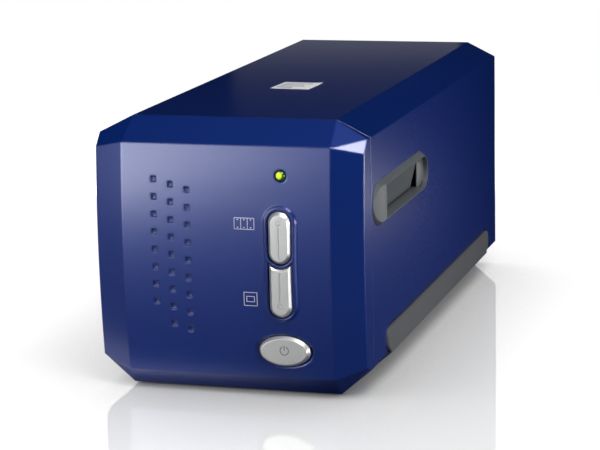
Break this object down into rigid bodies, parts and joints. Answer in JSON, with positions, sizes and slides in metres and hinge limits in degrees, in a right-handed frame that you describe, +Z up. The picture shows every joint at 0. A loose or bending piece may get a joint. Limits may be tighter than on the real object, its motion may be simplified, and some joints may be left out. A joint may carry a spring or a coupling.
{
  "type": "film negative scanner",
  "caption": "Long box-shaped desktop scanner for film strips and slides, with a crowned front, pill-shaped buttons, flapped side slots and a belt-driven optical carriage.",
  "frame": {"origin": "middle of the bounding box on the table, under the soft feet", "axes": "+X to the right seen from the front, +Y from the buttons to the back, +Z up"},
  "size_m": [0.1252, 0.272, 0.119],
  "materials": {
    "case_blue": "satin ABS with a fine spark texture",
    "trim_grey": "matt ABS",
    "soft_grey": "matt thermoplastic rubber",
    "button_silver": "satin silver paint on ABS",
    "lens_green": "tinted polycarbonate light pipe",
    "steel": "ground",
    "zinc_sheet": "zinc-plated sheet",
    "board_green": "solder mask",
    "chip_black": "epoxy",
    "optics_black": "matt glass-filled plastic",
    "bronze": "sintered bronze",
    "opal": "opal diffuser",
    "mirror": "front-surfaced mirror",
    "lens_glass": "coated glass",
    "belt_rubber": "toothed belt"
  },
  "bodies": {
    "housing": {"case_shell": "case_blue", "base_tray": "case_blue", "front_fascia": "case_blue", "rear_panel": "case_blue", "slot_bezel_right": "trim_grey", "slot_bezel_left": "trim_grey", "flap_pin_right": "steel", "flap_pin_left": "steel", "side_strip_right": "soft_grey", "side_strip_left": "soft_grey", "led_lens": "lens_green", "button_board": "board_green", "button_switches": "chip_black", "main_board": "board_green", "board_chips": "chip_black", "usb_socket": "steel", "dc_jack": "chip_black", "deck_plate": "zinc_sheet", "deck_screws": "steel", "guide_rod_left": "steel", "guide_rod_right": "steel", "film_guide": "optics_black", "stepper_motor": "zinc_sheet", "drive_belt": "belt_rubber", "idler_pin": "steel"},
    "right_flap": {"dust_flap_right": "trim_grey"},
    "left_flap": {"dust_flap_left": "trim_grey"},
    "upper_key": {"scan_button_upper": "button_silver"},
    "lower_key": {"scan_button_lower": "button_silver"},
    "power_key": {"power_button": "button_silver"},
    "carriage": {"carriage_tray": "optics_black", "carriage_lid": "optics_black", "rod_bushings": "bronze", "lamp_housing": "trim_grey", "lamp_diffuser": "opal", "lamp_board": "board_green", "scan_mirror": "mirror", "lens_barrel": "optics_black", "lens_glass": "lens_glass", "lens_clamp": "zinc_sheet", "sensor_board": "board_green", "sensor_chip": "chip_black", "belt_clamp": "optics_black"},
    "drive_shaft": {"motor_shaft": "steel", "motor_pulley": "steel"},
    "idler": {"idler_pulley": "trim_grey"}
  },
  "joints": [
    {"name": "upper_key_press", "type": "slide", "parent": "housing", "child": "upper_key", "axis": [0, 1, 0], "range_m": [0, 0.0008], "stiffness_N_per_m": 1200},
    {"name": "lower_key_press", "type": "slide", "parent": "housing", "child": "lower_key", "axis": [0, 1, 0], "range_m": [0, 0.0008], "stiffness_N_per_m": 1200},
    {"name": "power_key_press", "type": "slide", "parent": "housing", "child": "power_key", "axis": [0, 1, 0], "range_m": [0, 0.0008], "stiffness_N_per_m": 1200},
    {"name": "right_flap_swing", "type": "hinge", "parent": "housing", "child": "right_flap", "pos_m": [0.0587, -0.06435, 0.08775], "axis": [0, 1, 0], "range_deg": [0, 76]},
    {"name": "left_flap_swing", "type": "hinge", "parent": "housing", "child": "left_flap", "pos_m": [-0.0587, -0.06435, 0.08775], "axis": [0, 1, 0], "range_deg": [0, 80]},
    {"name": "carriage_slide", "type": "slide", "parent": "housing", "child": "carriage", "axis": [0, 1, 0], "range_m": [0, 0.036]},
    {"name": "drive_shaft_spin", "type": "hinge", "parent": "housing", "child": "drive_shaft", "pos_m": [0.026, -0.0894, 0.026], "axis": [0, 0, 1], "range_deg": [-5, 350]},
    {"name": "idler_spin", "type": "hinge", "parent": "housing", "child": "idler", "pos_m": [0.026, 0.0226, 0.026], "axis": [0, 0, 1], "range_deg": [-5, 350]}
  ],
  "couplings": [
    {"joint": "drive_shaft_spin", "follows": "carriage_slide", "rad_per_m": 151.52},
    {"joint": "idler_spin", "follows": "carriage_slide", "rad_per_m": 151.52}
  ]
}
